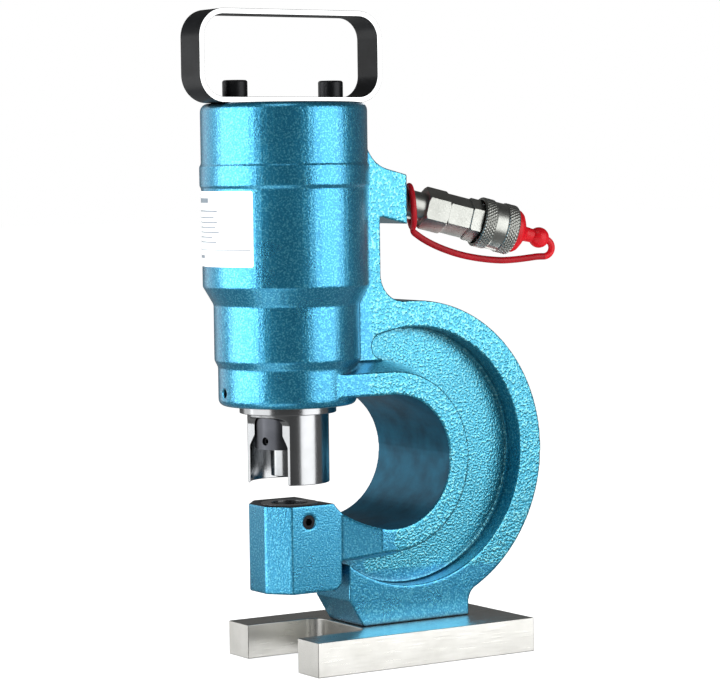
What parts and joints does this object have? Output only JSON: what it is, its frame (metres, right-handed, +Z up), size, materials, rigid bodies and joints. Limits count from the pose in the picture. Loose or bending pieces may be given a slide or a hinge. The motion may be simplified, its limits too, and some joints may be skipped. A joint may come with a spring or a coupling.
{
  "type": "hydraulic hole punch",
  "caption": "Cast C-frame hydraulic hole punch with a spring-return ram, stripper and die, a carry handle, a slotted base plate and a capped quick coupler.",
  "frame": {"origin": "middle of the base plate's underside", "axes": "+Z up along the punch's axis, +X from the punch to the back of the throat, +Y across the frame"},
  "size_m": [0.294, 0.126, 0.472],
  "materials": {
    "casting_paint": "metallic hammertone paint on cast steel",
    "plate_steel": "milled",
    "black_steel": "black oxide",
    "cap_steel": "turned and blackened",
    "handle_paint": "satin black",
    "stripper_chrome": "polished",
    "ram_steel": "ground",
    "tool_steel": "hardened and ground",
    "spring_steel": "drawn wire",
    "zinc_steel": "zinc plated",
    "bronze": "turned",
    "seal_rubber": "moulded",
    "seal_plastic": "moulded",
    "red_plastic": "moulded"
  },
  "bodies": {
    "frame": {"frame_casting": "casting_paint", "base_plate": "plate_steel", "base_screws": "black_steel", "cylinder_cap": "cap_steel", "cap_seal": "seal_rubber", "carry_handle": "handle_paint", "handle_screws": "black_steel", "guide_bush": "bronze", "rod_wiper": "seal_rubber", "return_spring": "spring_steel", "stripper": "stripper_chrome", "stripper_set_screw": "black_steel", "die": "tool_steel", "die_set_screw": "black_steel", "inlet_adapter": "zinc_steel", "adapter_seal": "bronze", "coupler_body": "zinc_steel", "sleeve_spring": "spring_steel", "sleeve_snap_ring": "spring_steel", "locking_balls": "tool_steel", "coupler_seal": "seal_rubber", "valve_spring": "spring_steel", "tether_ring": "red_plastic"},
    "ram": {"ram": "ram_steel", "piston_seal": "seal_plastic", "piston_wear_ring": "seal_plastic", "punch": "tool_steel", "punch_set_screw": "black_steel"},
    "sleeve": {"coupler_sleeve": "zinc_steel"},
    "valve": {"valve_poppet": "bronze"},
    "plug": {"dust_plug": "red_plastic", "plug_tether": "red_plastic"}
  },
  "joints": [
    {"name": "ram_slide", "type": "slide", "parent": "frame", "child": "ram", "axis": [0, 0, -1], "range_m": [0, 0.026], "stiffness_N_per_m": 15000, "springref_m": -0.01, "deforming": ["return_spring"]},
    {"name": "sleeve_slide", "type": "slide", "parent": "frame", "child": "sleeve", "axis": [-0.9433, 0.2178, 0.2504], "range_m": [0, 0.005], "stiffness_N_per_m": 2000, "springref_m": -0.004, "deforming": ["sleeve_spring"]},
    {"name": "valve_slide", "type": "slide", "parent": "frame", "child": "valve", "axis": [-0.9433, 0.2178, 0.2504], "range_m": [0, 0.004], "stiffness_N_per_m": 1500, "springref_m": -0.003, "deforming": ["valve_spring"]},
    {"name": "plug_pull", "type": "slide", "parent": "frame", "child": "plug", "axis": [0.9433, -0.2178, -0.2504], "range_m": [0, 0.016]}
  ]
}
